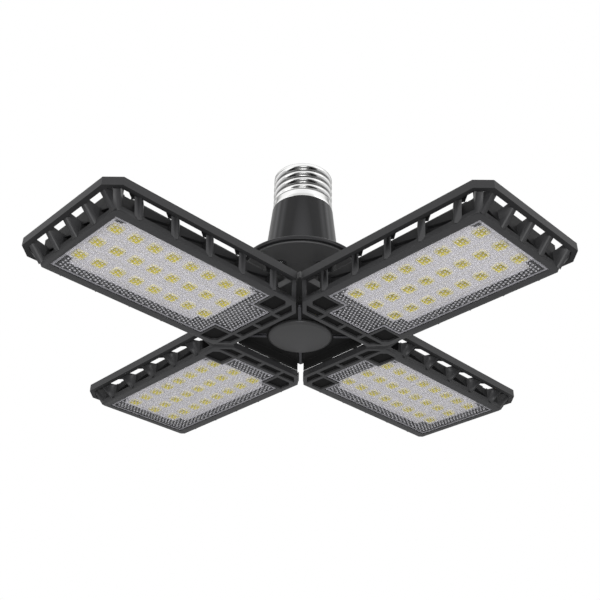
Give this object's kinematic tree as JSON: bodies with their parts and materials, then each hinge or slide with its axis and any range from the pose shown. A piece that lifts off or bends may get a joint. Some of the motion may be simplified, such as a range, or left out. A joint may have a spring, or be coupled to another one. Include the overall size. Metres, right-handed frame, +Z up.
{
  "type": "folding four-leaf garage light",
  "caption": "Ceiling light with a screw base, a driver housing and hinged LED leaves, each a ribbed frame round a prismatic lens, that fold down from open flat.",
  "frame": {"origin": "on the light's middle line, at the shoulder where the screw shell's smooth skirt meets the driver housing", "axes": "+Z up into the lampholder; the leaves open outward at 45, 135, 225 and 315 degrees from +X; the picture looks along +Y from below"},
  "size_m": [0.198, 0.198, 0.0917],
  "materials": {
    "plated_shell": "bright nickel plating over rolled sheet",
    "base_glass": "black glass insulator",
    "contact": "tinned, lightly domed",
    "housing": "satin black moulding",
    "circuit_board": "green solder resist",
    "winding_tape": "yellow winding tape over ferrite",
    "capacitor_sleeve": "shrink sleeve",
    "ferrite": "grey-black ferrite",
    "red_sleeve": "insulated lead",
    "black_sleeve": "insulated lead",
    "charcoal_casting": "die-cast, charcoal satin coating",
    "black_plate": "matte black moulding",
    "grey_cap": "fine satin, mid grey",
    "screw_steel": "zinc plated",
    "black_heat_sink": "black coated, satin",
    "white_board": "white solder resist on an aluminium board",
    "phosphor": "yellow phosphor in a white package",
    "prismatic_lens": "clear polycarbonate with a prism pattern",
    "seal_rubber": "silicone ring",
    "washer_metal": "sprung friction washer"
  },
  "bodies": {
    "hub": {"screw_shell": "plated_shell", "base_insulator": "base_glass", "center_contact": "contact", "driver_housing": "housing", "driver_board": "circuit_board", "transformer": "winding_tape", "capacitors": "capacitor_sleeve", "choke": "ferrite", "supply_leads": "red_sleeve", "output_leads": "black_sleeve", "hub_body": "charcoal_casting", "bottom_plate": "black_plate", "hub_cap": "grey_cap", "hub_screws": "screw_steel"},
    "leaf_1": {"leaf_frame_1": "charcoal_casting", "heat_sink_1": "black_heat_sink", "led_board_1": "white_board", "leds_1": "phosphor", "lens_1": "prismatic_lens", "lens_seal_1": "seal_rubber", "sink_screws_1": "screw_steel", "hinge_pin_1": "screw_steel", "friction_washers_1": "washer_metal", "leaf_lead_1": "black_sleeve"},
    "leaf_2": {"leaf_frame_2": "charcoal_casting", "heat_sink_2": "black_heat_sink", "led_board_2": "white_board", "leds_2": "phosphor", "lens_2": "prismatic_lens", "lens_seal_2": "seal_rubber", "sink_screws_2": "screw_steel", "hinge_pin_2": "screw_steel", "friction_washers_2": "washer_metal", "leaf_lead_2": "black_sleeve"},
    "leaf_3": {"leaf_frame_3": "charcoal_casting", "heat_sink_3": "black_heat_sink", "led_board_3": "white_board", "leds_3": "phosphor", "lens_3": "prismatic_lens", "lens_seal_3": "seal_rubber", "sink_screws_3": "screw_steel", "hinge_pin_3": "screw_steel", "friction_washers_3": "washer_metal", "leaf_lead_3": "black_sleeve"},
    "leaf_4": {"leaf_frame_4": "charcoal_casting", "heat_sink_4": "black_heat_sink", "led_board_4": "white_board", "leds_4": "phosphor", "lens_4": "prismatic_lens", "lens_seal_4": "seal_rubber", "sink_screws_4": "screw_steel", "hinge_pin_4": "screw_steel", "friction_washers_4": "washer_metal", "leaf_lead_4": "black_sleeve"}
  },
  "joints": [
    {"name": "leaf_1_fold", "type": "hinge", "parent": "hub", "child": "leaf_1", "pos_m": [0.02227, 0.02227, -0.0637], "axis": [-0.7071, 0.7071, 0], "range_deg": [0, 90]},
    {"name": "leaf_2_fold", "type": "hinge", "parent": "hub", "child": "leaf_2", "pos_m": [-0.02227, 0.02227, -0.0637], "axis": [-0.7071, -0.7071, 0], "range_deg": [0, 90]},
    {"name": "leaf_3_fold", "type": "hinge", "parent": "hub", "child": "leaf_3", "pos_m": [-0.02227, -0.02227, -0.0637], "axis": [0.7071, -0.7071, 0], "range_deg": [0, 90]},
    {"name": "leaf_4_fold", "type": "hinge", "parent": "hub", "child": "leaf_4", "pos_m": [0.02227, -0.02227, -0.0637], "axis": [0.7071, 0.7071, 0], "range_deg": [0, 90]}
  ]
}
